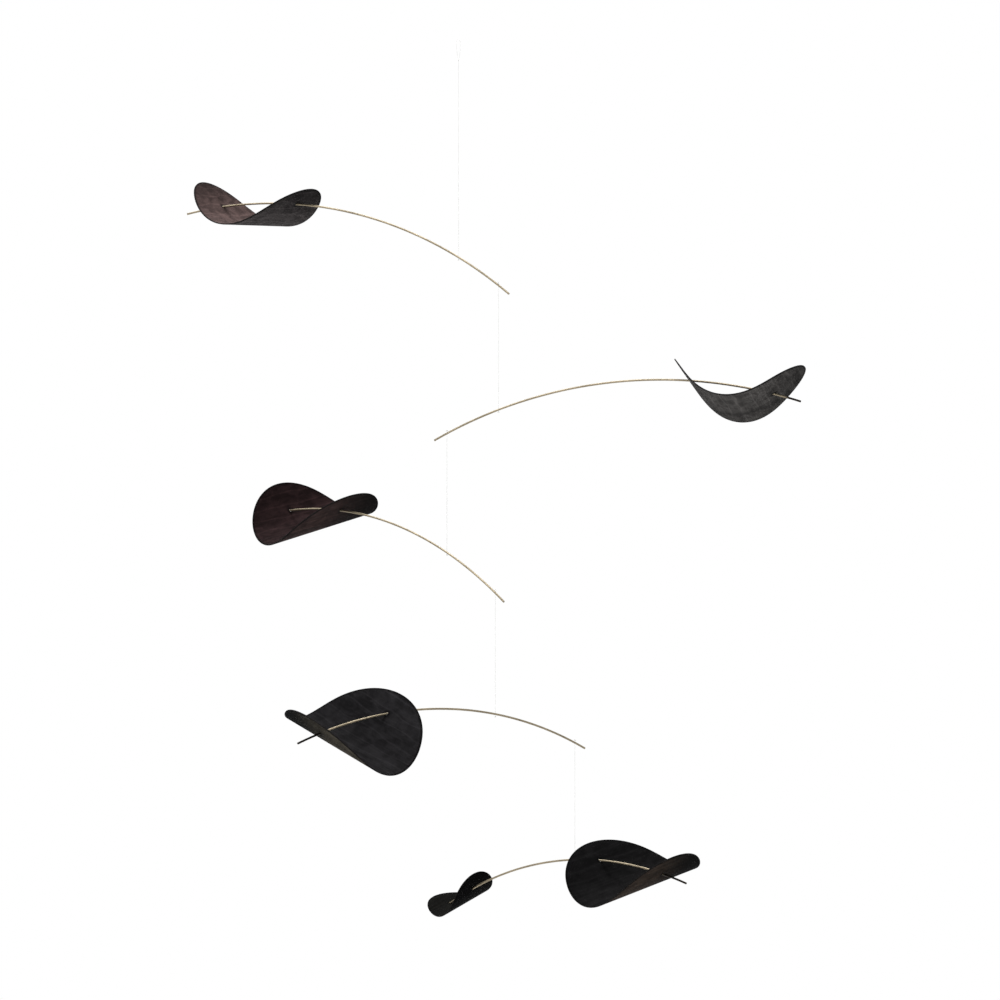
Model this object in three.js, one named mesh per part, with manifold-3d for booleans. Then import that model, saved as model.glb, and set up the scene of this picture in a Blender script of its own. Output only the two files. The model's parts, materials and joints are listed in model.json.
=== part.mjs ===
// Hanging mobile: five arched brass arms hang one below the other on threads, and carry six curled leaves of
// dark wood veneer. Millimetres, +Z up. The origin is the top of the hanging loop, and +Y points away from
// the side that the mobile is seen from.
import * as THREE from 'three';
import { mergeVertices } from 'three/addons/utils/BufferGeometryUtils.js';
import Module from 'manifold-3d';

// Wire, thread and veneer
const ARM_DIAMETER = 2.0;
const ARM_BEND_RADIUS = 480;
const THREAD_DIAMETER = 0.4;
const KNOT_DIAMETER = 2.0;
const VENEER_THICKNESS = 1.0;

// Clearances: a thread in its hole, an arm in a leaf's hole, and between pieces that touch
const THREAD_HOLE_CLEARANCE = 0.3;
const LEAF_HOLE_CLEARANCE = 0.3;
const TOUCHING_GAP = 0.3;

// Drop from the knot at the head of each thread to the arm below it
const THREAD_1_DROP = 197.5;
const THREAD_2_DROP = 126.5;
const THREAD_3_DROP = 121.5;
const THREAD_4_DROP = 122;
const THREAD_5_DROP = 120;

// Lengths along the wire from each arm's own thread to its left and right ends
const ARM_1_LEFT = 334;
const ARM_1_RIGHT = 69;
const ARM_2_LEFT = 74;
const ARM_2_RIGHT = 313;
const ARM_3_LEFT = 262;
const ARM_3_RIGHT = 95;
const ARM_4_LEFT = 249;
const ARM_4_RIGHT = 126;
const ARM_5_LEFT = 209;
const ARM_5_RIGHT = 159;

// The next thread's hole, along the wire from the arm's end
const NEXT_HOLE_FROM_END = 15;

// Each leaf's length across the grain, its width along the grain, and its middle along the wire from the
// arm's end
const LEAF_1_LENGTH = 159;
const LEAF_1_WIDTH = 119.5;
const LEAF_1_FROM_END = 84;
const LEAF_2_LENGTH = 164;
const LEAF_2_WIDTH = 100;
const LEAF_2_FROM_END = 68.5;
const LEAF_3_LENGTH = 150;
const LEAF_3_WIDTH = 133;
const LEAF_3_FROM_END = 48.5;
const LEAF_4_LENGTH = 147;
const LEAF_4_WIDTH = 139.5;
const LEAF_4_FROM_END = 64.5;
const LEAF_5_LENGTH = 83.5;
const LEAF_5_WIDTH = 72.5;
const LEAF_5_FROM_END = 29.5;
const LEAF_6_LENGTH = 153.5;
const LEAF_6_WIDTH = 128.5;
const LEAF_6_FROM_END = 72;

// The hanging loop's route in its own upright plane, as x and z, from the knot round the top and back
const LOOP_ROUTE = [
  [-0.5, -18.5], [-1.2, -14.8], [-1.9, -9.2], [-1.9, -3.8], [-1.4, -0.9], [0, -0.2],
  [1.4, -0.9], [1.9, -3.8], [1.9, -9.2], [1.2, -14.8], [0.5, -18.5],
];

// Each arm: turn about its thread in degrees, which brings the right end forward where it is positive, and
// its fall to the right at the thread, in degrees. The next thread hangs near the end that hangsFrom names.
const ARMS = [
  { drop: THREAD_1_DROP, turn: 28, fall: 29.7, left: ARM_1_LEFT, right: ARM_1_RIGHT, hangsFrom: 'right' },
  { drop: THREAD_2_DROP, turn: 18, fall: -19.7, left: ARM_2_LEFT, right: ARM_2_RIGHT, hangsFrom: 'left' },
  { drop: THREAD_3_DROP, turn: 46, fall: 24.5, left: ARM_3_LEFT, right: ARM_3_RIGHT, hangsFrom: 'right' },
  { drop: THREAD_4_DROP, turn: -41, fall: 10.7, left: ARM_4_LEFT, right: ARM_4_RIGHT, hangsFrom: 'right' },
  { drop: THREAD_5_DROP, turn: 48, fall: -5.5, left: ARM_5_LEFT, right: ARM_5_RIGHT },
];

// Each leaf is a flat oval, bent about straight lines that run along its grain, and pierced twice by its arm,
// near that arm's left or right end. Its form is in shares of its own length and in degrees. sag is how far
// the bend's middle lies below the wire, offset how far the oval's middle lies from the bend's, and bend the
// length that is bent, between two straight wings with the slope wing. taper makes the right half wider, and
// skew turns the oval in its own plane. pitch, roll and yaw turn the leaf along, about and across the wire.
const LEAVES = [
  { arm: 1, side: 'left', fromEnd: LEAF_1_FROM_END, length: LEAF_1_LENGTH, width: LEAF_1_WIDTH, sag: 0.138,
    offset: 0.01, bend: 0.755, wing: 43.5, taper: 0.05, skew: 1, pitch: -6.5, roll: 3, yaw: 0 },
  { arm: 2, side: 'right', fromEnd: LEAF_2_FROM_END, length: LEAF_2_LENGTH, width: LEAF_2_WIDTH, sag: 0.14,
    offset: 0.021, bend: 0.695, wing: 46.5, taper: -0.04, skew: -5, pitch: 3.5, roll: -14.5, yaw: -2.5 },
  { arm: 3, side: 'left', fromEnd: LEAF_3_FROM_END, length: LEAF_3_LENGTH, width: LEAF_3_WIDTH, sag: 0.144,
    offset: 0.043, bend: 0.733, wing: 49.5, taper: 0.07, skew: 0, pitch: -12, roll: 14, yaw: 0 },
  { arm: 4, side: 'left', fromEnd: LEAF_4_FROM_END, length: LEAF_4_LENGTH, width: LEAF_4_WIDTH, sag: 0.167,
    offset: 0.047, bend: 0.626, wing: 45.5, taper: 0.03, skew: -2.5, pitch: -9, roll: 20.5, yaw: -4.5 },
  { arm: 5, side: 'left', fromEnd: LEAF_5_FROM_END, length: LEAF_5_LENGTH, width: LEAF_5_WIDTH, sag: 0.102,
    offset: -0.055, bend: 0.79, wing: 46.5, taper: 0.13, skew: 2.5, pitch: 3.5, roll: 18, yaw: 0.5 },
  { arm: 5, side: 'right', fromEnd: LEAF_6_FROM_END, length: LEAF_6_LENGTH, width: LEAF_6_WIDTH, sag: 0.146,
    offset: -0.036, bend: 0.69, wing: 41, taper: -0.03, skew: 5, pitch: 7.5, roll: 13.5, yaw: 6.5 },
];

// Mesh fineness
const ARM_STEPS = 32;
const ARM_SIDES = 10;
const THREAD_STEPS = 3;
const THREAD_SIDES = 8;
const LOOP_STEPS = 30;
const KNOT_SIDES = 10;
const KNOT_RINGS = 6;
const LEAF_RULINGS = 44;
const RIM_SAMPLES = 720;
const BEND_SAMPLES = 48;

const brass = () => new THREE.MeshStandardMaterial({ color: 0x9a835c, roughness: 0.3, metalness: 1 });
const veneer = () => new THREE.MeshStandardMaterial({ color: 0x2b2524, roughness: 0.6, metalness: 0 });
const nylon = () => new THREE.MeshStandardMaterial({ color: 0xd8d8d4, roughness: 0.4, metalness: 0 });

const radians = THREE.MathUtils.degToRad;

const wasm = await Module();
wasm.setup();

function toSolid(geometry) {
  const bare = geometry.clone();
  bare.deleteAttribute('normal');
  bare.deleteAttribute('uv');
  const merged = mergeVertices(bare, 1e-4);
  return new wasm.Manifold(new wasm.Mesh({
    numProp: 3,
    vertProperties: new Float32Array(merged.attributes.position.array),
    triVerts: new Uint32Array(merged.index.array),
  }));
}

function toGeometry(solid) {
  const mesh = solid.getMesh();
  const geometry = new THREE.BufferGeometry();
  geometry.setAttribute('position', new THREE.BufferAttribute(new Float32Array(mesh.vertProperties), 3));
  geometry.setIndex(new THREE.BufferAttribute(new Uint32Array(mesh.triVerts), 1));
  geometry.computeVertexNormals();
  return geometry;
}

function named(name, geometry, material) {
  const mesh = new THREE.Mesh(geometry, material);
  mesh.name = name;
  return mesh;
}

// A round tube along a curve, closed at both ends
function tube(curve, diameter, steps, sides) {
  const section = new THREE.Shape();
  section.absarc(0, 0, diameter / 2, 0, 2 * Math.PI);
  return new THREE.ExtrudeGeometry(section, { extrudePath: curve, steps, curveSegments: sides / 2 });
}

// The arm's fall to the right, as an angle, at a length along the wire from its thread, right positive
function armFall(arm, along) {
  return radians(arm.fall) + along / ARM_BEND_RADIUS;
}

// A point of the arm's centre line, in the upright plane through its thread's hole
function armPoint(arm, along) {
  const start = armFall(arm, 0);
  const here = armFall(arm, along);
  const x = ARM_BEND_RADIUS * (Math.sin(here) - Math.sin(start));
  const z = ARM_BEND_RADIUS * (Math.cos(here) - Math.cos(start));
  return new THREE.Vector3(x, 0, z);
}

// The length along the wire from the arm's thread to a place near one of its ends, right positive
function alongFromEnd(arm, side, fromEnd) {
  return side === 'right' ? arm.right - fromEnd : fromEnd - arm.left;
}

class ArmCurve extends THREE.Curve {
  constructor(arm) {
    super();
    this.arm = arm;
  }

  getPoint(t) {
    return armPoint(this.arm, THREE.MathUtils.lerp(-this.arm.left, this.arm.right, t));
  }
}

function armRod(arm, diameter) {
  return toSolid(tube(new ArmCurve(arm), diameter, ARM_STEPS, ARM_SIDES));
}

// An upright hole for a thread, through the arm at a length along it
function threadHole(arm, along) {
  const radius = THREAD_DIAMETER / 2 + THREAD_HOLE_CLEARANCE;
  const drill = new THREE.CylinderGeometry(radius, radius, 4 * ARM_DIAMETER, THREAD_SIDES);
  drill.rotateX(Math.PI / 2);
  drill.translate(...armPoint(arm, along));
  return toSolid(drill);
}

function drilledArm(arm, nextHole) {
  let solid = armRod(arm, ARM_DIAMETER).subtract(threadHole(arm, 0));
  if (nextHole !== undefined) {
    solid = solid.subtract(threadHole(arm, nextHole));
  }
  return toGeometry(solid);
}

// How far a knot's middle stands above or below the arm's centre line, where the knot bears on the arm
function knotOffset(arm, along) {
  const square = ARM_DIAMETER / 2 + TOUCHING_GAP + KNOT_DIAMETER / 2;
  return square / Math.cos(armFall(arm, along));
}

function knot() {
  return new THREE.SphereGeometry(KNOT_DIAMETER / 2, KNOT_SIDES, KNOT_RINGS).rotateX(Math.PI / 2);
}

// A free thread between two knots, as far as the gap that each keeps
function thread(topKnot, bottomKnot) {
  const reach = KNOT_DIAMETER / 2 + TOUCHING_GAP;
  const top = topKnot.clone().add(new THREE.Vector3(0, 0, -reach));
  const bottom = bottomKnot.clone().add(new THREE.Vector3(0, 0, reach));
  return tube(new THREE.LineCurve3(top, bottom), THREAD_DIAMETER, THREAD_STEPS, THREAD_SIDES);
}

function hangingLoop() {
  const route = new THREE.CatmullRomCurve3(LOOP_ROUTE.map(([x, z]) => new THREE.Vector3(x, 0, z)));
  return tube(route, THREAD_DIAMETER, LOOP_STEPS, THREAD_SIDES);
}

// Slope of the bent sheet at a flat distance from the bend's middle
function bendAngle(leaf, across) {
  const share = THREE.MathUtils.clamp(across / (leaf.bend * leaf.length / 2), -1, 1);
  return radians(leaf.wing) * Math.sin(share * Math.PI / 2);
}

// The bent sheet's profile: its place and slope at a flat distance from the bend's middle
function bendAt(leaf, across) {
  const step = across / BEND_SAMPLES;
  let x = 0;
  let z = 0;
  for (let i = 0; i < BEND_SAMPLES; i += 1) {
    const angle = bendAngle(leaf, (i + 0.5) * step);
    x += Math.cos(angle) * step;
    z += Math.sin(angle) * step;
  }
  return { x, z, angle: bendAngle(leaf, across) };
}

// The flat oval's rim, as points across and along the grain
function rimPoints(leaf) {
  const centre = new THREE.Vector2();
  return Array.from({ length: RIM_SAMPLES }, (unused, i) => {
    const t = 2 * Math.PI * i / RIM_SAMPLES;
    const across = leaf.length / 2 * Math.cos(t);
    const along = leaf.width / 2 * Math.sin(t) * (1 + leaf.taper * Math.cos(t));
    const point = new THREE.Vector2(across, along).rotateAround(centre, radians(leaf.skew));
    point.x += leaf.offset * leaf.length;
    return point;
  });
}

// Where a ruling meets the rim: its low and high ends along the grain
function rulingEnds(rim, across) {
  const crossings = [];
  rim.forEach((from, i) => {
    const to = rim[(i + 1) % rim.length];
    if ((from.x - across) * (to.x - across) <= 0 && from.x !== to.x) {
      crossings.push(THREE.MathUtils.lerp(from.y, to.y, (across - from.x) / (to.x - from.x)));
    }
  });
  return [Math.min(...crossings), Math.max(...crossings)];
}

// Rulings from tip to tip, closer together towards the tips, where the rim turns fastest
function rulings(leaf) {
  const rim = rimPoints(leaf);
  const low = rim.reduce((a, b) => (b.x < a.x ? b : a));
  const high = rim.reduce((a, b) => (b.x > a.x ? b : a));
  const inner = Array.from({ length: LEAF_RULINGS - 1 }, (unused, i) => {
    const share = (1 - Math.cos(Math.PI * (i + 1) / LEAF_RULINGS)) / 2;
    const across = THREE.MathUtils.lerp(low.x, high.x, share);
    return { across, ends: rulingEnds(rim, across) };
  });
  return [{ across: low.x, ends: [low.y, low.y] }, ...inner, { across: high.x, ends: [high.y, high.y] }];
}

// The leaf's two faces and its cut edge, bent, with the bend's middle at the origin
function bentSheet(leaf) {
  const sections = rulings(leaf).map(({ across, ends: [low, high] }) => {
    const { x, z, angle } = bendAt(leaf, across);
    const corner = (side, along) => [
      x - side * VENEER_THICKNESS / 2 * Math.sin(angle),
      along,
      z + side * VENEER_THICKNESS / 2 * Math.cos(angle),
    ];
    return [corner(1, low), corner(1, high), corner(-1, high), corner(-1, low)];
  });
  const positions = [];
  const same = (p, q) => p.every((value, i) => value === q[i]);
  const triangle = (p, q, r) => {
    if (!same(p, q) && !same(q, r) && !same(r, p)) {
      positions.push(...p, ...q, ...r);
    }
  };
  for (let i = 0; i < sections.length - 1; i += 1) {
    for (let j = 0; j < 4; j += 1) {
      const k = (j + 1) % 4;
      triangle(sections[i][j], sections[i + 1][j], sections[i + 1][k]);
      triangle(sections[i][j], sections[i + 1][k], sections[i][k]);
    }
  }
  const geometry = new THREE.BufferGeometry();
  geometry.setAttribute('position', new THREE.Float32BufferAttribute(positions, 3));
  return geometry;
}

// The leaf in its place on its arm
function leafMatrix(arm, leaf) {
  const along = alongFromEnd(arm, leaf.side, leaf.fromEnd);
  const pitch = armFall(arm, along) - radians(leaf.pitch);
  const matrix = new THREE.Matrix4().setPosition(armPoint(arm, along));
  matrix.multiply(new THREE.Matrix4().makeRotationY(pitch));
  matrix.multiply(new THREE.Matrix4().makeRotationX(radians(leaf.roll)));
  matrix.multiply(new THREE.Matrix4().makeRotationZ(-radians(leaf.yaw)));
  return matrix.multiply(new THREE.Matrix4().makeTranslation(0, 0, -leaf.sag * leaf.length));
}

function piercedLeaf(arm, leaf) {
  const sheet = toSolid(bentSheet(leaf).applyMatrix4(leafMatrix(arm, leaf)));
  return toGeometry(sheet.subtract(armRod(arm, ARM_DIAMETER + 2 * LEAF_HOLE_CLEARANCE)));
}

const mobile = new THREE.Group();

mobile.add(named('hanging_loop', hangingLoop(), nylon()));
const loopFoot = LOOP_ROUTE[0][1];
let topKnot = new THREE.Vector3(0, 0, loopFoot - TOUCHING_GAP - KNOT_DIAMETER / 2);
mobile.add(named('loop_knot', knot().translate(...topKnot), nylon()));

ARMS.forEach((arm, index) => {
  const number = index + 1;
  const hole = topKnot.clone().add(new THREE.Vector3(0, 0, -arm.drop));
  const bottomKnot = hole.clone().add(new THREE.Vector3(0, 0, -knotOffset(arm, 0)));
  mobile.add(named(`thread_${number}`, thread(topKnot, bottomKnot), nylon()));
  mobile.add(named(`knot_under_arm_${number}`, knot().translate(...bottomKnot), nylon()));

  const nextHole = arm.hangsFrom && alongFromEnd(arm, arm.hangsFrom, NEXT_HOLE_FROM_END);
  const tier = new THREE.Group();
  tier.position.copy(hole);
  tier.rotation.z = -radians(arm.turn);
  tier.add(named(`arm_${number}`, drilledArm(arm, nextHole), brass()));
  LEAVES.forEach((leaf, leafIndex) => {
    if (leaf.arm === number) {
      tier.add(named(`leaf_${leafIndex + 1}`, piercedLeaf(arm, leaf), veneer()));
    }
  });
  mobile.add(tier);

  if (nextHole !== undefined) {
    tier.updateMatrix();
    topKnot = armPoint(arm, nextHole).applyMatrix4(tier.matrix);
    topKnot.z += knotOffset(arm, nextHole);
    mobile.add(named(`knot_over_arm_${number}`, knot().translate(...topKnot), nylon()));
  }
});

export default mobile;
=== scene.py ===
import json
import math

import bpy
import numpy as np
from mathutils import Matrix, Vector


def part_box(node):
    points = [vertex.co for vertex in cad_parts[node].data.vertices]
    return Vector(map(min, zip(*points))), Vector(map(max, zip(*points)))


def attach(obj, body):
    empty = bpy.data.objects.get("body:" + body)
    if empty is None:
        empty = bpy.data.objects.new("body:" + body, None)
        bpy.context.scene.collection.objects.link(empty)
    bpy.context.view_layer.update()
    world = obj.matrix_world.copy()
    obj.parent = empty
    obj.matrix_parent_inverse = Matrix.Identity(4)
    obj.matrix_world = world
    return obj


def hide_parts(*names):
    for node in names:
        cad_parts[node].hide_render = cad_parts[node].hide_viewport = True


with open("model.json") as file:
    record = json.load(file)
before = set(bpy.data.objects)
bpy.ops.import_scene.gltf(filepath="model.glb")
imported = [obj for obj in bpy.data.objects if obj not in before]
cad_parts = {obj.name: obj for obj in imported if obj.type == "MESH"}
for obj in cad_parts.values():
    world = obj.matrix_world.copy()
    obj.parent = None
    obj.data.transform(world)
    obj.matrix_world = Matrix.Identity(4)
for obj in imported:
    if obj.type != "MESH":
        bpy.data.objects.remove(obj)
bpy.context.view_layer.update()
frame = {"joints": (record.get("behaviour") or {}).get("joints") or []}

# The tables below are in millimetres and degrees, the scene is in metres
MM = 0.001

# One millimetre at the upper thread is one pixel of the 1000 pixel frame
CAMERA_PLACE = (41.5, -3500, -460)
CAMERA_LENS = 126
CAMERA_SENSOR = 36

# Wire, thread and veneer
ARM_DIAMETER = 2.0
ARM_BEND_RADIUS = 480
THREAD_DIAMETER = 0.4
KNOT_DIAMETER = 2.0
VENEER_THICKNESS = 1.0
THREAD_HOLE_CLEARANCE = 0.3
LEAF_HOLE_CLEARANCE = 0.3

# The hanging loop's route in its own upright plane, as x and z, from the knot round the top and back
LOOP_ROUTE = [
    (-0.5, -18.5), (-1.2, -14.8), (-1.9, -9.2), (-1.9, -3.8), (-1.4, -0.9), (0, -0.2),
    (1.4, -0.9), (1.9, -3.8), (1.9, -9.2), (1.2, -14.8), (0.5, -18.5),
]

# Each arm: turn about its thread, fall to the right at the thread, lengths along the wire from the thread
# to its two ends, the next thread's hole along the wire, and how much of each end is nearly black
ARMS = [
    {"turn": 28, "fall": 29.7, "left": 334, "right": 69, "next_hole": 54,
     "dark_left": 0, "dark_right": 0},
    {"turn": 18, "fall": -19.7, "left": 74, "right": 313, "next_hole": -59,
     "dark_left": 0, "dark_right": 18},
    {"turn": 46, "fall": 24.5, "left": 262, "right": 95, "next_hole": 80,
     "dark_left": 0, "dark_right": 0},
    {"turn": -41, "fall": 10.7, "left": 249, "right": 126, "next_hole": 111,
     "dark_left": 40, "dark_right": 0},
    {"turn": 48, "fall": -5.5, "left": 209, "right": 159, "next_hole": None,
     "dark_left": 0, "dark_right": 35},
]

# Each leaf's own arm, its middle along the wire from the arm's thread, its form in shares of its length
# and in degrees, and its colour: inner is the upper face in the hollow of the bend, outer the lower one.
# Each face's colour is its stain with painted light and shade: the two faces of one veneer are given
# different colours for the light that falls on them. The colour is as given in the middle, and is
# multiplied at the wings' tips and at the far side by a number that is painted light and shade.
# One outer face has a soft dark streak, curved across the grain, in shares of the length and width
STREAK = {"middle": 0.12, "height": 0.17, "curve": 3.0, "spread": 0.11, "tone": 0.62}
LEAVES = [
    {"arm": 1, "place": -250, "length": 159, "width": 119.5, "sag": 0.138, "offset": 0.01, "bend": 0.755,
     "wing": 43.5, "taper": 0.05, "skew": 1, "pitch": -6.5, "roll": 3, "yaw": 0,
     "inner": (0.071, 0.047, 0.044), "outer": (0.038, 0.0335, 0.0335),
     "inner_tips": 0.50, "outer_tips": 0.34},
    {"arm": 2, "place": 244.5, "length": 164, "width": 100, "sag": 0.14, "offset": 0.021, "bend": 0.695,
     "wing": 46.5, "taper": -0.04, "skew": -5, "pitch": 3.5, "roll": -14.5, "yaw": -2.5,
     "inner": (0.055, 0.047, 0.046), "outer": (0.051, 0.048, 0.046),
     "inner_tips": 0.85, "outer_tips": 0.62, "outer_far": 0.75, "outer_streak": STREAK},
    {"arm": 3, "place": -213.5, "length": 150, "width": 133, "sag": 0.144, "offset": 0.043, "bend": 0.733,
     "wing": 49.5, "taper": 0.07, "skew": 0, "pitch": -12, "roll": 14, "yaw": 0,
     "inner": (0.0190, 0.0105, 0.0108), "outer": (0.0222, 0.0135, 0.0126),
     "inner_tips": 0.60, "outer_tips": 1.0, "outer_far": 0.12},
    {"arm": 4, "place": -184.5, "length": 147, "width": 139.5, "sag": 0.167, "offset": 0.047, "bend": 0.626,
     "wing": 45.5, "taper": 0.03, "skew": -2.5, "pitch": -9, "roll": 20.5, "yaw": -4.5,
     "inner": (0.0102, 0.0096, 0.0104), "outer": (0.0325, 0.028, 0.0208),
     "inner_tips": 1.45, "outer_tips": 1.0, "outer_far": 0.0},
    {"arm": 5, "place": -179.5, "length": 83.5, "width": 72.5, "sag": 0.102, "offset": -0.055, "bend": 0.79,
     "wing": 46.5, "taper": 0.13, "skew": 2.5, "pitch": 3.5, "roll": 18, "yaw": 0.5,
     "inner": (0.0036, 0.0034, 0.0027), "outer": (0.0018, 0.0017, 0.0019),
     "inner_tips": 0.85, "outer_tips": 0.60},
    {"arm": 5, "place": 87, "length": 153.5, "width": 128.5, "sag": 0.146, "offset": -0.036, "bend": 0.69,
     "wing": 41, "taper": -0.03, "skew": 5, "pitch": 7.5, "roll": 13.5, "yaw": 6.5,
     "inner": (0.0047, 0.0045, 0.0047), "outer": (0.0210, 0.0150, 0.0113),
     "inner_tips": 0.95, "outer_tips": 1.0, "outer_far": 0.0},
]

# Edges: the rounding of the leaves' cut rim and of the arms' cut ends
RIM_ROUND = 0.25
ARM_END_ROUND = 0.4

# Mesh fineness
THREAD_POINTS = 16
KNOT_STEPS = 96
KNOT_SIDES = 12
ARM_STEP = 2.5
ARM_SIDES = 24
ROUND_STEPS = 4
LEAF_RIM_POINTS = 240
LEAF_RINGS = 30
BEND_SAMPLES = 4001
HOLE_SEARCH_STEP = 0.5
SHARP_ANGLE = 40
CORD_BEVEL_STEPS = 3

# A leaf's materials, in the order of its slots
INNER_FACE, RIM_FACE, OUTER_FACE = 0, 1, 2

# Colours, as linear red, green and blue
BRASS = (0.36, 0.305, 0.215)
DARK_BRASS = (0.035, 0.028, 0.022)
NYLON = (0.92, 0.92, 0.90)
RIM_STAIN = (0.006, 0.005, 0.005)
STAGE_WHITE = (0.80, 0.80, 0.80)
PURE_WHITE = (1, 1, 1)

# The painted light and shade on the faces: where it begins and ends to change, as shares of the leaf's
# length and width, and how far and how much it is darker from the rim, and, as painted shadow, from the
# middle of a hole
TIPS_FROM, TIPS_TO = 0.18, 0.48
FAR_FROM, FAR_TO = -0.25, 0.32
DARK_RIM_WIDTH = 3.2
DARK_RIM_TONE = 0.22
HOLE_SHADOW_WIDTH = 6.5
HOLE_SHADOW_TONE = 0.22

# Patterns. A scale says how often a pattern repeats in a metre, across the grain or round the wire first
# and along it second. Tones and roughness are given for the pattern's low and its high end
NOISE_LOW, NOISE_HIGH = 0.30, 0.70

# The veneer's broad bands, blotches, fibre, growth lines and pores, and how far the patterns are shifted
# for each step of the seed
SEED_SHIFTS = (1.7, 0.9, 3.1)
BAND_SCALE = (42, 7, 1)
BAND_TONES = (0.86, 1.12)
BLOTCH_SCALE = (120, 75, 1)
BLOTCH_TONES = (0.66, 1.36)
FIBRE_SCALE = (620, 26, 1)
FIBRE_LOW, FIBRE_HIGH = 0.32, 0.68
FIBRE_TONES = (0.93, 1.08)
LINE_SCALE = (22, 8, 1)
LINE_WAVES = {
    "Scale": 1.1, "Distortion": 6.0, "Detail": 2.0, "Detail Scale": 1.2, "Detail Roughness": 0.55,
}
LINE_LOW, LINE_HIGH = 0.93, 1.0
LINE_TONES = (0.0, 0.42)
PORE_SCALE = (2300, 130, 1)
PORE_LOW, PORE_HIGH = 0.56, 0.70
PORE_TONE = 0.10
PORE_RELIEF = 0.8
VENEER_ROUGHNESS = (0.80, 0.68)
VENEER_GLOSS = 0.02
VENEER_BUMP = {"strength": 0.25, "distance": 0.06}

# The leaves' cut rim
END_GRAIN_SCALE = (1500, 1500, 1)
END_GRAIN_TONES = (0.55, 1.6)
RIM_ROUGHNESS = 0.75
RIM_GLOSS = 0.1
RIM_BUMP = {"strength": 0.5, "distance": 0.05}

# The brass wire's drawn streaks and tarnish, and how long and how uneven the change to dark brass is
WIRE_STREAK_SCALE = (3500, 18, 1)
WIRE_STREAK_TONES = (0.88, 1.12)
TARNISH_SCALE = (90, 30, 1)
TARNISH_LOW, TARNISH_HIGH = 0.35, 0.70
TARNISH_TONES = (1.06, 0.80)
BRASS_ROUGHNESS = (0.50, 0.62)
BRASS_BUMP = {"strength": 0.2, "distance": 0.02}
DARK_END_FADE = 5
DARK_END_WANDER = 2

# The nylon thread. Its pattern's scale is for x, y and z, the thread's own direction
NYLON_SCALE = (2500, 2500, 90)
NYLON_TONES = (0.92, 1.08)
NYLON_ROUGHNESS = (0.28, 0.40)
NYLON_TRANSMISSION = 0.90
NYLON_BUMP = {"strength": 0.2, "distance": 0.02}

# Studio, in metres: a round white floor that turns up into a wall
FLOOR_HEIGHT = -3.2
FLOOR_RADIUS = 8.0
STAGE_CURVE = 2.5
WALL_TOP = 6.0
STAGE_SEGMENTS = 96
STUDIO_GLOW = 0.30
LIGHT_AIM = (0, 0, -0.45)
LIGHTS = [
    {"name": "key_light", "place": (-2.4, -1.6, 2.4), "size": 1.6, "power": 60},
    {"name": "top_light", "place": (0.5, 0.6, 3.2), "size": 1.5, "power": 75},
    {"name": "back_light", "place": (-0.7, 1.8, 2.5), "size": 2.8, "power": 95},
]


# Camera

def make_camera():
    data = bpy.data.cameras.new("camera")
    data.lens = CAMERA_LENS
    data.sensor_width = CAMERA_SENSOR
    camera = bpy.data.objects.new("camera", data)
    camera.location = Vector(CAMERA_PLACE) * MM
    camera.rotation_euler = (math.radians(90), 0, 0)
    bpy.context.scene.collection.objects.link(camera)
    bpy.context.scene.camera = camera


# Node materials

def new_material(name):
    """A node material, with its node tree and its shader."""
    made = bpy.data.materials.new(name)
    made.use_nodes = True
    tree = made.node_tree
    return made, tree, tree.nodes["Principled BSDF"]


def set_input(tree, socket, value):
    """Links a socket to another node's output, or gives it a plain value."""
    if isinstance(value, bpy.types.NodeSocket):
        tree.links.new(value, socket)
    else:
        socket.default_value = value


def add_node(tree, kind, inputs, **settings):
    """A node with its settings and inputs. Inputs go by name or by number."""
    made = tree.nodes.new(kind)
    for key, value in settings.items():
        setattr(made, key, value)
    for key, value in inputs.items():
        set_input(tree, made.inputs[key], value)
    return made


def calculate(tree, operation, first, second):
    return add_node(tree, "ShaderNodeMath", {0: first, 1: second}, operation=operation).outputs[0]


def map_range(tree, value, low, high, to_low, to_high):
    inputs = {"Value": value, "From Min": low, "From Max": high, "To Min": to_low, "To Max": to_high}
    return add_node(tree, "ShaderNodeMapRange", inputs, interpolation_type="SMOOTHSTEP").outputs["Result"]


def mix_colours(tree, share, first, second):
    """The first colour where share is 0, and the second where it is 1."""
    made = tree.nodes.new("ShaderNodeMix")
    made.data_type = "RGBA"
    # The node has sockets of the same names for every kind of data, so the colour ones go by number
    factor, colour_a, colour_b = made.inputs[0], made.inputs[6], made.inputs[7]
    set_input(tree, factor, share)
    set_input(tree, colour_a, first)
    set_input(tree, colour_b, second)
    return made.outputs[2]


def opaque(colour):
    return (*colour, 1)


def pattern_place(tree):
    """The place on the piece's flat pattern, in metres."""
    return add_node(tree, "ShaderNodeUVMap", {}, uv_map="pattern").outputs["UV"]


def flat_place(tree, scale, shift=(0, 0, 0)):
    """The place on the flat pattern times a scale, and shifted."""
    inputs = {"Vector": pattern_place(tree), "Location": shift, "Scale": scale}
    return add_node(tree, "ShaderNodeMapping", inputs).outputs["Vector"]


def rim_distance(tree):
    """The distance from a leaf's rim, in metres."""
    edge = add_node(tree, "ShaderNodeUVMap", {}, uv_map="edge")
    return add_node(tree, "ShaderNodeSeparateXYZ", {0: edge.outputs["UV"]}).outputs["X"]


def noise(tree, vector, detail, distortion=0.0):
    inputs = {"Vector": vector, "Scale": 1.0, "Detail": detail, "Distortion": distortion}
    return add_node(tree, "ShaderNodeTexNoise", inputs).outputs["Fac"]


def bump(tree, height, strength, distance):
    """Fine relief in the surface. The distance is in millimetres."""
    inputs = {"Height": height, "Strength": strength, "Distance": distance * MM}
    return add_node(tree, "ShaderNodeBump", inputs).outputs["Normal"]


def toned(tree, colour, tone):
    """A colour made lighter or darker by a number that varies over the surface."""
    inputs = {"Color": opaque(colour), "Value": tone}
    return add_node(tree, "ShaderNodeHueSaturation", inputs).outputs["Color"]


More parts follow.
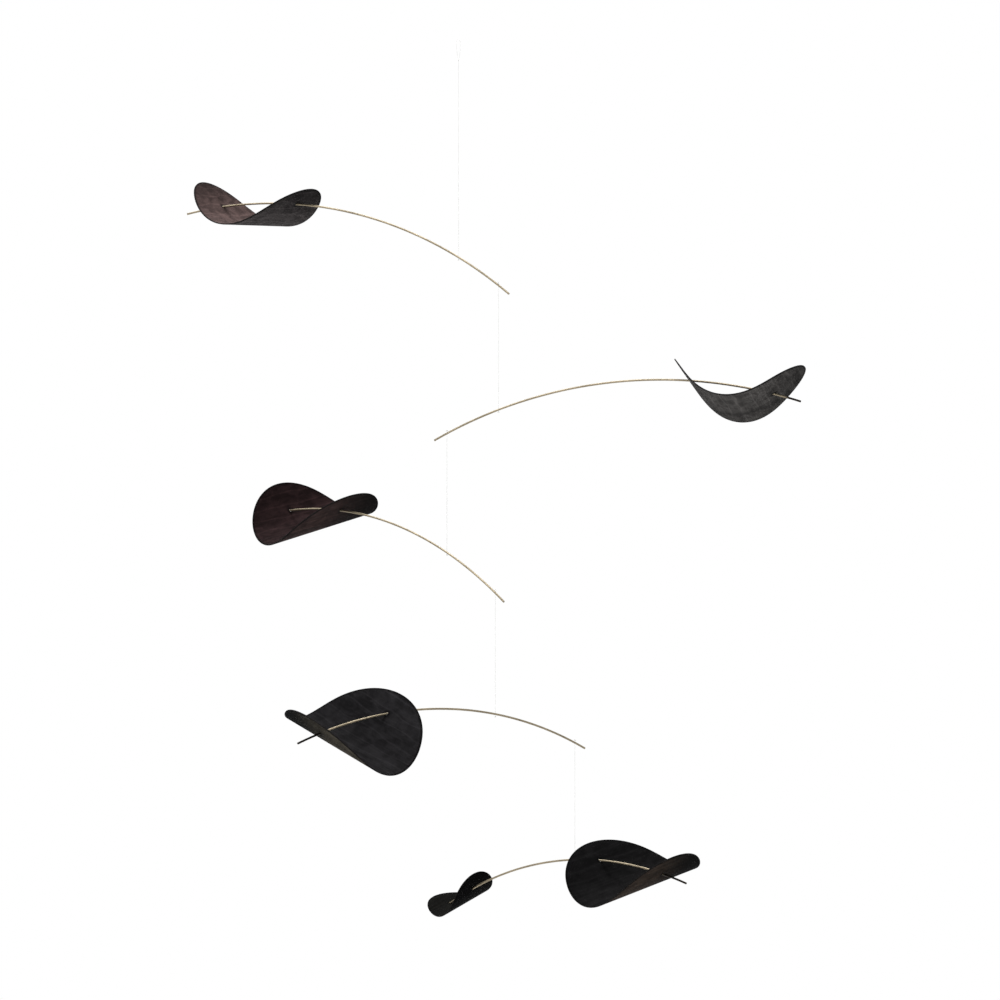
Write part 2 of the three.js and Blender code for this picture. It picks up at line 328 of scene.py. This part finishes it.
def leaf_place(tree, leaf):
    """The place on the flat leaf across and along the grain, as shares of its length and width."""
    place = add_node(tree, "ShaderNodeSeparateXYZ", {0: pattern_place(tree)})
    across = calculate(tree, "DIVIDE", place.outputs["X"], leaf["length"] * MM)
    along = calculate(tree, "DIVIDE", place.outputs["Y"], leaf["width"] * MM)
    return across, along


def painted_light_and_shade_tone(tree, leaf, side):
    """What a face's colour is multiplied by, from its middle to the wings' tips and from its near to its
    far side: painted light and shade, for how the light falls there. Less than 1 is darker."""
    across, along = leaf_place(tree, leaf)
    from_middle = calculate(tree, "ABSOLUTE", across, 0.0)
    tips = map_range(tree, from_middle, TIPS_FROM, TIPS_TO, 1.0, leaf[f"{side}_tips"])
    far = map_range(tree, along, FAR_FROM, FAR_TO, 1.0, leaf.get(f"{side}_far", 1.0))
    return calculate(tree, "MULTIPLY", tips, far)


def streak_tone(tree, leaf, streak):
    """A soft dark streak that curves across the grain."""
    across, along = leaf_place(tree, leaf)
    from_middle = calculate(tree, "SUBTRACT", across, streak["middle"])
    square = calculate(tree, "MULTIPLY", from_middle, from_middle)
    rise = calculate(tree, "MULTIPLY", square, streak["curve"])
    height = calculate(tree, "ADD", rise, streak["height"])
    distance = calculate(tree, "ABSOLUTE", calculate(tree, "SUBTRACT", along, height), 0.0)
    return map_range(tree, distance, 0.0, streak["spread"], streak["tone"], 1.0)


def painted_hole_shadow(tree, hole):
    """Painted shadow close to a hole, where the wire leaves the surface: darkest at the wire and fading
    outwards.
    """
    middle = (hole[0] * MM, hole[1] * MM, 0)
    inputs = {0: pattern_place(tree), 1: middle}
    distance = add_node(tree, "ShaderNodeVectorMath", inputs, operation="DISTANCE").outputs["Value"]
    return map_range(tree, distance, ARM_DIAMETER / 2 * MM, HOLE_SHADOW_WIDTH * MM, HOLE_SHADOW_TONE, 1.0)


def veneer_tone(tree, shift, fibre, pore_depth):
    """The grain's effect on the colour: broad bands, blotches, fibre, narrow lighter growth lines that
    wander, and short dark pores."""
    bands = noise(tree, flat_place(tree, BAND_SCALE, shift), detail=2.0, distortion=0.8)
    blotches = noise(tree, flat_place(tree, BLOTCH_SCALE, shift), detail=4.0, distortion=0.5)
    waves = {"Vector": flat_place(tree, LINE_SCALE, shift), **LINE_WAVES}
    lines = add_node(tree, "ShaderNodeTexWave", waves,
                     wave_type="BANDS", bands_direction="X", wave_profile="SIN").outputs["Fac"]
    band_tone = map_range(tree, bands, NOISE_LOW, NOISE_HIGH, *BAND_TONES)
    blotch_tone = map_range(tree, blotches, NOISE_LOW, NOISE_HIGH, *BLOTCH_TONES)
    fibre_tone = map_range(tree, fibre, FIBRE_LOW, FIBRE_HIGH, *FIBRE_TONES)
    line_tone = map_range(tree, lines, LINE_LOW, LINE_HIGH, *LINE_TONES)
    tone = calculate(tree, "MULTIPLY", band_tone, blotch_tone)
    tone = calculate(tree, "MULTIPLY", tone, fibre_tone)
    tone = calculate(tree, "ADD", tone, line_tone)
    return calculate(tree, "SUBTRACT", tone, calculate(tree, "MULTIPLY", pore_depth, PORE_TONE))


def veneer(name, leaf, side, seed, holes):
    """Stained veneer, with the grain along the pattern's second coordinate. It is darker at the rim, has
    painted shadow at the holes, and painted light and shade towards the wings' tips and the far side."""
    made, tree, shader = new_material(name)
    shift = tuple(seed * step for step in SEED_SHIFTS)
    fibre = noise(tree, flat_place(tree, FIBRE_SCALE, shift), detail=4.0, distortion=0.2)
    pores = noise(tree, flat_place(tree, PORE_SCALE, shift), detail=1.0)
    pore_depth = map_range(tree, pores, PORE_LOW, PORE_HIGH, 0.0, 1.0)
    tone = veneer_tone(tree, shift, fibre, pore_depth)
    rim = map_range(tree, rim_distance(tree), RIM_ROUND * MM, DARK_RIM_WIDTH * MM, DARK_RIM_TONE, 1.0)
    # Painted light and shade towards the tips and the far side, darkening at the rim, and painted shadow at
    # the holes
    marks = [painted_light_and_shade_tone(tree, leaf, side), rim] + [painted_hole_shadow(tree, hole) for hole in holes]
    if f"{side}_streak" in leaf:
        marks.append(streak_tone(tree, leaf, leaf[f"{side}_streak"]))
    for mark in marks:
        tone = calculate(tree, "MULTIPLY", tone, mark)
    # The face's colour is its stain together with the painted light and shade for that face
    set_input(tree, shader.inputs["Base Color"], toned(tree, leaf[side], tone))

    wax = map_range(tree, fibre, NOISE_LOW, NOISE_HIGH, *VENEER_ROUGHNESS)
    set_input(tree, shader.inputs["Roughness"], wax)
    shader.inputs["Specular IOR Level"].default_value = VENEER_GLOSS
    pore_relief = calculate(tree, "MULTIPLY", pore_depth, PORE_RELIEF)
    surface = calculate(tree, "SUBTRACT", fibre, pore_relief)
    set_input(tree, shader.inputs["Normal"], bump(tree, surface, **VENEER_BUMP))
    return made


def veneer_rim(name, seed):
    """The cut edge, darker where the stain soaks into the end grain, with fine unevenness."""
    made, tree, shader = new_material(name)
    grain = noise(tree, flat_place(tree, END_GRAIN_SCALE, (seed, seed, seed)), detail=3.0)
    tone = map_range(tree, grain, NOISE_LOW, NOISE_HIGH, *END_GRAIN_TONES)
    set_input(tree, shader.inputs["Base Color"], toned(tree, RIM_STAIN, tone))
    shader.inputs["Roughness"].default_value = RIM_ROUGHNESS
    shader.inputs["Specular IOR Level"].default_value = RIM_GLOSS
    set_input(tree, shader.inputs["Normal"], bump(tree, grain, **RIM_BUMP))
    return made


def dark_ends(tree, arm, patches):
    """1 on the arm's dark ends and 0 between them, with an uneven border."""
    split = add_node(tree, "ShaderNodeSeparateXYZ", {0: pattern_place(tree)})
    wander = DARK_END_WANDER * MM
    border = map_range(tree, patches, NOISE_LOW, NOISE_HIGH, -wander, wander)
    along = calculate(tree, "ADD", split.outputs["Y"], border)
    fade = DARK_END_FADE * MM
    bright_from = (arm["dark_left"] - arm["left"]) * MM
    bright_to = (arm["right"] - arm["dark_right"]) * MM
    left_end = map_range(tree, along, bright_from - fade, bright_from, 1.0, 0.0)
    right_end = map_range(tree, along, bright_to, bright_to + fade, 0.0, 1.0)
    return calculate(tree, "MAXIMUM", left_end, right_end)


def brass(name, arm):
    """Drawn brass wire: satin, with streaks along the wire, patches of light tarnish and darkened ends."""
    made, tree, shader = new_material(name)
    streaks = noise(tree, flat_place(tree, WIRE_STREAK_SCALE), detail=3.0)
    patches = noise(tree, flat_place(tree, TARNISH_SCALE), detail=3.0, distortion=0.4)
    streak = map_range(tree, streaks, NOISE_LOW, NOISE_HIGH, *WIRE_STREAK_TONES)
    tarnish = map_range(tree, patches, TARNISH_LOW, TARNISH_HIGH, *TARNISH_TONES)
    tone = calculate(tree, "MULTIPLY", streak, tarnish)
    dark = dark_ends(tree, arm, patches)
    colour = mix_colours(tree, dark, toned(tree, BRASS, tone), opaque(DARK_BRASS))
    set_input(tree, shader.inputs["Base Color"], colour)
    shader.inputs["Metallic"].default_value = 1.0
    satin = map_range(tree, patches, NOISE_LOW, NOISE_HIGH, *BRASS_ROUGHNESS)
    set_input(tree, shader.inputs["Roughness"], satin)
    set_input(tree, shader.inputs["Normal"], bump(tree, streaks, **BRASS_BUMP))
    return made


def nylon(name):
    """Clear grey nylon thread, slightly uneven along its length."""
    made, tree, shader = new_material(name)
    place = add_node(tree, "ShaderNodeTexCoord", {}).outputs["Object"]
    stretch = add_node(tree, "ShaderNodeMapping", {"Vector": place, "Scale": NYLON_SCALE})
    uneven = noise(tree, stretch.outputs["Vector"], detail=2.0)
    tone = map_range(tree, uneven, NOISE_LOW, NOISE_HIGH, *NYLON_TONES)
    set_input(tree, shader.inputs["Base Color"], toned(tree, NYLON, tone))
    gloss = map_range(tree, uneven, NOISE_LOW, NOISE_HIGH, *NYLON_ROUGHNESS)
    set_input(tree, shader.inputs["Roughness"], gloss)
    shader.inputs["Transmission Weight"].default_value = NYLON_TRANSMISSION
    set_input(tree, shader.inputs["Normal"], bump(tree, uneven, **NYLON_BUMP))
    return made


def seen_directly(tree):
    """1 where the camera sees a surface, also through clear thread, and 0 where the object does."""
    path = add_node(tree, "ShaderNodeLightPath", {})
    return calculate(tree, "MAXIMUM", path.outputs["Is Camera Ray"], path.outputs["Is Transmission Ray"])


def stage_white(name):
    """Plain white where it is seen, and a soft even glow on the object."""
    made, tree, shader = new_material(name)
    shader.inputs["Base Color"].default_value = opaque(STAGE_WHITE)
    shader.inputs["Roughness"].default_value = 1.0
    shader.inputs["Specular IOR Level"].default_value = 0.0
    shader.inputs["Emission Color"].default_value = opaque(PURE_WHITE)
    shader.inputs["Emission Strength"].default_value = STUDIO_GLOW
    seen = seen_directly(tree)
    white = add_node(tree, "ShaderNodeEmission", {"Strength": 1.0}).outputs["Emission"]
    mixed = add_node(tree, "ShaderNodeMixShader", {0: seen, 1: shader.outputs["BSDF"], 2: white})
    tree.links.new(mixed.outputs["Shader"], tree.nodes["Material Output"].inputs["Surface"])
    return made


# Meshes

def new_piece(name, points, faces, pattern, materials, face_materials=None, edge=None):
    """An object of a mesh. pattern gives each point's place on the flat pattern, or each face corner's, and
    edge each point's distance from the rim."""
    mesh = bpy.data.meshes.new(name)
    mesh.from_pydata([tuple(p) for p in points], [], faces)
    corners = np.array([corner for face in faces for corner in face])
    places = np.asarray(pattern, float)
    if len(places) == len(points):
        places = places[corners]
    layer = mesh.uv_layers.new(name="pattern")
    layer.data.foreach_set("uv", places.astype(np.float32).ravel())
    if edge is not None:
        distances = np.stack([edge[corners], np.zeros(len(corners))], axis=1)
        layer = mesh.uv_layers.new(name="edge")
        layer.data.foreach_set("uv", distances.astype(np.float32).ravel())
    for material in materials:
        mesh.materials.append(material)
    if face_materials is not None:
        mesh.polygons.foreach_set("material_index", face_materials)
    mesh.shade_smooth()
    mesh.validate()
    mesh.update()
    piece = bpy.data.objects.new(name, mesh)
    bpy.context.scene.collection.objects.link(piece)
    return piece


def unit(vectors):
    return vectors / np.linalg.norm(vectors, axis=-1, keepdims=True)


def swept_tube(name, route, radii, reference, sides, closed, materials, along=None):
    """A round tube through the route's points. The reference is a direction that the route never takes."""
    count = len(route)
    if closed:
        tangents = unit(np.roll(route, -1, axis=0) - np.roll(route, 1, axis=0))
    else:
        tangents = unit(np.gradient(route, axis=0))
    across = unit(np.cross(tangents, np.array(reference, float)))
    upward = np.cross(across, tangents)
    angles = 2 * math.pi * np.arange(sides) / sides
    spokes = across[:, None] * np.cos(angles)[:, None] + upward[:, None] * np.sin(angles)[:, None]
    points = (route[:, None] + np.asarray(radii)[:, None, None] * spokes).reshape(-1, 3)
    if along is None:
        along = np.arange(count) * np.linalg.norm(route[1] - route[0])
    girth = 2 * math.pi * max(radii)
    faces = []
    pattern = []
    for i in range(count if closed else count - 1):
        j = (i + 1) % count
        for k in range(sides):
            n = (k + 1) % sides
            faces.append((i * sides + k, j * sides + k, j * sides + n, i * sides + n))
            low, high = girth * k / sides, girth * (k + 1) / sides
            far = along[i + 1] if i + 1 < count else along[i]
            pattern += [(low, along[i]), (low, far), (high, far), (high, along[i])]
    if not closed:
        first = list(range(sides))
        last = [(count - 1) * sides + k for k in range(sides)]
        faces += [tuple(first), tuple(reversed(last))]
        pattern += [(girth * k / sides, along[0]) for k in first]
        pattern += [(girth * k / sides, along[-1]) for k in reversed(first)]
    return new_piece(name, points, faces, pattern, materials)


def cut_away(piece, cutters):
    """Cuts each cutter's shape out of the piece, and removes the cutters."""
    for cutter in cutters:
        modifier = piece.modifiers.new(cutter.name, "BOOLEAN")
        modifier.operation = "DIFFERENCE"
        modifier.solver = "EXACT"
        modifier.object = cutter
    bpy.context.view_layer.update()
    graph = bpy.context.evaluated_depsgraph_get()
    whole = piece.data
    piece.data = bpy.data.meshes.new_from_object(
        piece.evaluated_get(graph), preserve_all_data_layers=True, depsgraph=graph)
    piece.modifiers.clear()
    piece.data.name = whole.name
    bpy.data.meshes.remove(whole)
    for cutter in cutters:
        bpy.data.objects.remove(cutter)
    piece.data.shade_smooth()
    piece.data.set_sharp_from_angle(angle=math.radians(SHARP_ANGLE))


# Threads, loop and knots

def centre_of(node):
    low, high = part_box(node)
    return (low + high) / 2


def cord_curve(name, points, material):
    data = bpy.data.curves.new(name, "CURVE")
    data.dimensions = "3D"
    data.bevel_depth = THREAD_DIAMETER / 2 * MM
    data.bevel_resolution = CORD_BEVEL_STEPS
    data.use_fill_caps = True
    spline = data.splines.new("BEZIER")
    spline.bezier_points.add(len(points) - 1)
    for knot, place in zip(spline.bezier_points, points):
        knot.co = place
        knot.handle_left_type = "AUTO"
        knot.handle_right_type = "AUTO"
    data.materials.append(material)
    cord = bpy.data.objects.new(name, data)
    bpy.context.scene.collection.objects.link(cord)
    return cord


def make_knot(node, body, material):
    """A tight overhand knot in the place of the node's ball. Its route is a closed trefoil, raised to
    about two thirds of its width."""
    steps = 2 * math.pi * np.arange(KNOT_STEPS) / KNOT_STEPS
    path_radius = (KNOT_DIAMETER - THREAD_DIAMETER) / 2 * MM
    lobes = 3
    rise = 1.7
    x = np.sin(steps) + 2 * np.sin(2 * steps)
    y = np.cos(steps) - 2 * np.cos(2 * steps)
    z = -rise * np.sin(lobes * steps)
    route = np.stack([x, y, z], axis=1) * path_radius / lobes + np.array(centre_of(node))
    radii = np.full(KNOT_STEPS, THREAD_DIAMETER / 2 * MM)
    knot = swept_tube(f"{node}_tied", route, radii, (0, 0, 1), KNOT_SIDES, True, [material])
    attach(knot, body)
    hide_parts(node)
    return knot


def make_thread(number, top, bottom, body, material):
    """A taut thread from knot to knot, through the hole of the arm that it carries."""
    start, end = centre_of(top), centre_of(bottom)
    points = [start.lerp(end, i / (THREAD_POINTS - 1)) for i in range(THREAD_POINTS)]
    cord = cord_curve(f"thread_{number}_line", points, material)
    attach(cord, body)
    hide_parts(f"thread_{number}")
    return cord, points


def make_threads():
    material = nylon("nylon_thread")
    knots = {"loop_knot": make_knot("loop_knot", "hanger", material)}
    loop_points = [Vector((x, 0, z)) * MM for x, z in LOOP_ROUTE]
    loop = cord_curve("hanging_loop_line", loop_points, material)
    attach(loop, "hanger")
    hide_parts("hanging_loop")
    for number in range(1, len(ARMS) + 1):
        body = "hanger" if number == 1 else f"tier_{number - 1}"
        top = "loop_knot" if number == 1 else f"knot_over_arm_{number - 1}"
        bottom = f"knot_under_arm_{number}"
        knots[bottom] = make_knot(bottom, body, material)
        if number > 1:
            knots[top] = make_knot(top, body, material)
        cord, points = make_thread(number, top, bottom, body, material)


# Arms

def arm_fall(arm, along):
    """The wire's fall to the right at a length along it, in radians."""
    return math.radians(arm["fall"]) + along / ARM_BEND_RADIUS


def arm_point(arm, along):
    """A point of the arm's centre line in its own upright plane, from the hole of its thread."""
    start = arm_fall(arm, 0)
    here = arm_fall(arm, along)
    x = ARM_BEND_RADIUS * (np.sin(here) - math.sin(start))
    z = ARM_BEND_RADIUS * (np.cos(here) - math.cos(start))
    return np.stack([x, np.zeros_like(x), z], axis=-1)


def arm_matrix(number):
    """The arm's own frame, in metres: at its thread's hole, turned about the thread."""
    joint = next(j for j in frame["joints"] if j["name"] == f"swivel_{number}")
    turn = Matrix.Rotation(-math.radians(ARMS[number - 1]["turn"]), 4, "Z")
    return Matrix.Translation(joint["pos_m"]) @ turn


def thread_drill(arm, along):
    """An upright rod of the thread hole's size, through the arm at a length along it. It is turned by half
    a side, so that none of its corners falls on an edge of the wire, which would leave faces of no area."""
    radius = THREAD_DIAMETER / 2 + THREAD_HOLE_CLEARANCE
    reach = np.array([[0, 0, -2 * ARM_DIAMETER], [0, 0, 2 * ARM_DIAMETER]])
    route = (arm_point(arm, np.float64(along)) + reach) * MM
    half_side = math.pi / ARM_SIDES
    reference = (math.cos(half_side), math.sin(half_side), 0)
    return swept_tube("drill", route, [radius * MM] * 2, reference, ARM_SIDES, False, [])


def make_arm(number):
    arm = ARMS[number - 1]
    quarter = np.linspace(0, math.pi / 2, ROUND_STEPS + 1)
    end_radii = ARM_DIAMETER / 2 - ARM_END_ROUND * (1 - np.sin(quarter))
    middle = np.arange(-arm["left"] + ARM_STEP, arm["right"] - ARM_STEP / 2, ARM_STEP)
    inset = ARM_END_ROUND * (1 - np.cos(quarter))
    along = np.concatenate([-arm["left"] + inset, middle, (arm["right"] - inset)[::-1]])
    radii = np.concatenate([end_radii, np.full(len(middle), ARM_DIAMETER / 2), end_radii[::-1]])
    material = brass(f"brass_wire_{number}", arm)
    piece = swept_tube(f"arm_{number}_wire", arm_point(arm, along) * MM, radii * MM, (0, 1, 0), ARM_SIDES,
                       False, [material], along * MM)
    holes = [0] if arm["next_hole"] is None else [0, arm["next_hole"]]
    cut_away(piece, [thread_drill(arm, hole) for hole in holes])
    piece.data.transform(arm_matrix(number))
    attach(piece, f"tier_{number}")
    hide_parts(f"arm_{number}")
    return piece


# Leaves

def bend_angle(leaf, across):
    """Slope of the bent sheet at a flat distance from the bend's middle."""
    share = np.clip(across / (leaf["bend"] * leaf["length"] / 2), -1, 1)
    return math.radians(leaf["wing"]) * np.sin(share * math.pi / 2)


def bend_curve(leaf):
    """The middle layer across the grain: flat distances, and their x and z once it is bent."""
    reach = np.linspace(-leaf["length"], leaf["length"], BEND_SAMPLES)
    angle = bend_angle(leaf, reach)
    step = reach[1] - reach[0]
    middle = BEND_SAMPLES // 2
    x = np.cumsum(np.cos(angle)) * step
    z = np.cumsum(np.sin(angle)) * step
    return reach, x - x[middle], z - z[middle]


def bent(leaf, flat, height):
    """The flat sheet's points, as across and along the grain, bent, at a height above its middle layer."""
    reach, x, z = bend_curve(leaf)
    here = bend_angle(leaf, flat[..., 0])
    place_x = np.interp(flat[..., 0], reach, x) - height * np.sin(here)
    place_z = np.interp(flat[..., 0], reach, z) + height * np.cos(here)
    return np.stack([place_x, flat[..., 1], place_z], axis=-1)


def leaf_rim(leaf):
    """The flat oval's rim before it is turned in its plane, and its outward directions."""
    t = 2 * math.pi * np.arange(LEAF_RIM_POINTS) / LEAF_RIM_POINTS
    across = leaf["length"] / 2 * np.cos(t)
    along = leaf["width"] / 2 * np.sin(t) * (1 + leaf["taper"] * np.cos(t))
    rim = np.stack([across, along], axis=1)
    tangents = unit(np.roll(rim, -1, axis=0) - np.roll(rim, 1, axis=0))
    outward = np.stack([tangents[:, 1], -tangents[:, 0]], axis=1)
    return rim, outward


def leaf_rings(leaf):
    """Rings of flat points with their heights, from the upper face's middle round the rim to the lower
    face's middle."""
    rim, outward = leaf_rim(leaf)
    half = VENEER_THICKNESS / 2
    face_rim = rim - RIM_ROUND * outward
    face = [(face_rim * k / LEAF_RINGS, half) for k in range(1, LEAF_RINGS + 1)]
    rounding = []
    for k in range(1, ROUND_STEPS + 1):
        angle = math.pi / 2 * k / ROUND_STEPS
        inset = RIM_ROUND * (1 - math.sin(angle))
        rounding.append((rim - inset * outward, half - RIM_ROUND * (1 - math.cos(angle))))
    upper = face + rounding
    return upper + [(flat, -height) for flat, height in reversed(upper)]


def leaf_matrix(arm, leaf):
    """The leaf's place on its arm, in metres, in the arm's own frame."""
    place = Vector(arm_point(arm, np.float64(leaf["place"]))) * MM
    pitch = arm_fall(arm, leaf["place"]) - math.radians(leaf["pitch"])
    sag = Vector((0, 0, -leaf["sag"] * leaf["length"] * MM))
    turns = [(pitch, "Y"), (math.radians(leaf["roll"]), "X"), (-math.radians(leaf["yaw"]), "Z")]
    matrix = Matrix.Translation(place)
    for angle, axis in turns:
        matrix = matrix @ Matrix.Rotation(angle, 4, axis)
    return matrix @ Matrix.Translation(sag)


def hole_places(arm, leaf):
    """Where the arm passes through the leaf, across and along the grain of the flat sheet."""
    lengths = np.arange(-arm["left"], arm["right"], HOLE_SEARCH_STEP)
    inverse = leaf_matrix(arm, leaf).inverted()
    route = np.array([inverse @ Vector(point) for point in arm_point(arm, lengths) * MM]) / MM
    reach, x, z = bend_curve(leaf)
    above = route[:, 2] > np.interp(route[:, 0], x, z)
    crossings = np.nonzero(above[1:] != above[:-1])[0]
    places = [(np.interp(route[i, 0], x, reach), route[i, 1]) for i in crossings]
    return [place for place in places if abs(place[0]) < leaf["length"] / 2]


def arm_drill(arm):
    """A rod of the leaf holes' size along the whole arm. The walls that it cuts look like the rim."""
    along = np.arange(-arm["left"], arm["right"] + ARM_STEP, ARM_STEP)
    radius = (ARM_DIAMETER / 2 + LEAF_HOLE_CLEARANCE) * MM
    route = arm_point(arm, along) * MM
    drill = swept_tube("drill", route, [radius] * len(along), (0, 1, 0), ARM_SIDES, False, [])
    for slot in range(RIM_FACE + 1):
        drill.data.materials.append(None)
    drill.data.polygons.foreach_set("material_index", [RIM_FACE] * len(drill.data.polygons))
    return drill


def leaf_points(leaf, rings):
    """The sheet's points on the flat pattern and bent, and their distances from the rim, in millimetres."""
    skew = math.radians(leaf["skew"])
    turn = np.array([[math.cos(skew), math.sin(skew)], [-math.sin(skew), math.cos(skew)]])
    middle = np.array([leaf["offset"] * leaf["length"], 0])
    half = VENEER_THICKNESS / 2
    rim, outward = leaf_rim(leaf)
    inset = [np.sum((rim - flat) * outward, axis=1) for flat, height in rings]
    middle_inset = [np.array([leaf["width"] / 2])]
    edge = np.concatenate(middle_inset + inset + middle_inset)
    flats = [np.zeros((1, 2))] + [flat for flat, height in rings] + [np.zeros((1, 2))]
    heights = [half] + [height for flat, height in rings] + [-half]
    flats = [flat @ turn + middle for flat in flats]
    points = np.concatenate([bent(leaf, flat, height) for flat, height in zip(flats, heights)])
    return np.concatenate(flats), points, edge


def strip_kind(strip, ring_count):
    """Which of the leaf's materials the strip of faces between two rings has."""
    if strip < LEAF_RINGS - 1:
        return INNER_FACE
    if strip >= ring_count - LEAF_RINGS:
        return OUTER_FACE
    return RIM_FACE


def leaf_faces(ring_count):
    """The sheet's faces with their materials: a fan round each middle point, and a strip from ring to
    ring."""
    count = LEAF_RIM_POINTS
    starts = [1 + i * count for i in range(ring_count)]
    last = 1 + ring_count * count
    faces = []
    kinds = []
    for j in range(count):
        n = (j + 1) % count
        faces.append((0, starts[0] + j, starts[0] + n))
        faces.append((last, starts[-1] + n, starts[-1] + j))
        kinds += [INNER_FACE, OUTER_FACE]
    for strip, (near, far) in enumerate(zip(starts, starts[1:])):
        kind = strip_kind(strip, ring_count)
        for j in range(count):
            n = (j + 1) % count
            faces.append((near + j, far + j, far + n, near + n))
            kinds.append(kind)
    return faces, kinds


def make_leaf(number):
    leaf = LEAVES[number - 1]
    arm = ARMS[leaf["arm"] - 1]
    rings = leaf_rings(leaf)
    flat, points, edge = leaf_points(leaf, rings)
    faces, kinds = leaf_faces(len(rings))
    holes = hole_places(arm, leaf)
    materials = [
        veneer(f"veneer_{number}_inner", leaf, "inner", number, holes),
        veneer_rim(f"veneer_{number}_rim", number),
        veneer(f"veneer_{number}_outer", leaf, "outer", number + len(LEAVES), holes),
    ]
    piece = new_piece(f"leaf_{number}_sheet", points * MM, faces, flat * MM, materials, kinds, edge * MM)
    piece.data.transform(leaf_matrix(arm, leaf))
    cut_away(piece, [arm_drill(arm)])
    piece.data.transform(arm_matrix(leaf["arm"]))
    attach(piece, f"tier_{leaf['arm']}")
    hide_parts(f"leaf_{number}")
    return piece


# Studio

def make_stage():
    """A round floor that turns up into a wall, all in one white."""
    profile = [(0.0, FLOOR_HEIGHT), (FLOOR_RADIUS, FLOOR_HEIGHT)]
    curve_steps = 12
    for i in range(1, curve_steps + 1):
        angle = math.pi / 2 * i / curve_steps
        profile.append((FLOOR_RADIUS + STAGE_CURVE * math.sin(angle),
                        FLOOR_HEIGHT + STAGE_CURVE * (1 - math.cos(angle))))
    profile.append((FLOOR_RADIUS + STAGE_CURVE, WALL_TOP))
    points = [(0.0, 0.0, FLOOR_HEIGHT)]
    for radius, height in profile[1:]:
        for k in range(STAGE_SEGMENTS):
            angle = 2 * math.pi * k / STAGE_SEGMENTS
            points.append((radius * math.cos(angle), radius * math.sin(angle), height))
    faces = [(0, 1 + k, 1 + (k + 1) % STAGE_SEGMENTS) for k in range(STAGE_SEGMENTS)]
    for i in range(len(profile) - 2):
        low, high = 1 + i * STAGE_SEGMENTS, 1 + (i + 1) * STAGE_SEGMENTS
        for k in range(STAGE_SEGMENTS):
            n = (k + 1) % STAGE_SEGMENTS
            faces.append((low + k, high + k, high + n, low + n))
    pattern = [(x, y) for x, y, z in points]
    floor = new_piece("studio_floor", points, faces, pattern, [stage_white("studio_white")])


def make_light(name, place, aim, size, power):
    data = bpy.data.lights.new(name, "AREA")
    data.shape = "DISK"
    data.size = size
    data.energy = power
    light = bpy.data.objects.new(name, data)
    light.location = place
    light.rotation_mode = "QUATERNION"
    light.rotation_quaternion = (Vector(aim) - Vector(place)).to_track_quat("-Z", "Y")
    light.visible_camera = False
    bpy.context.scene.collection.objects.link(light)


def make_studio():
    make_stage()
    for light in LIGHTS:
        make_light(light["name"], light["place"], LIGHT_AIM, light["size"], light["power"])
    world = bpy.data.worlds.new("studio_sky")
    world.use_nodes = True
    tree = world.node_tree
    sky = tree.nodes["Background"]
    sky.inputs["Color"].default_value = opaque(PURE_WHITE)
    strength = map_range(tree, seen_directly(tree), 0.0, 1.0, STUDIO_GLOW, 1.0)
    set_input(tree, sky.inputs["Strength"], strength)
    bpy.context.scene.world = world
    bpy.context.scene.view_settings.view_transform = "Standard"


make_camera()
make_threads()
for arm_number in range(1, len(ARMS) + 1):
    make_arm(arm_number)
for leaf_number in range(1, len(LEAVES) + 1):
    make_leaf(leaf_number)
make_studio()
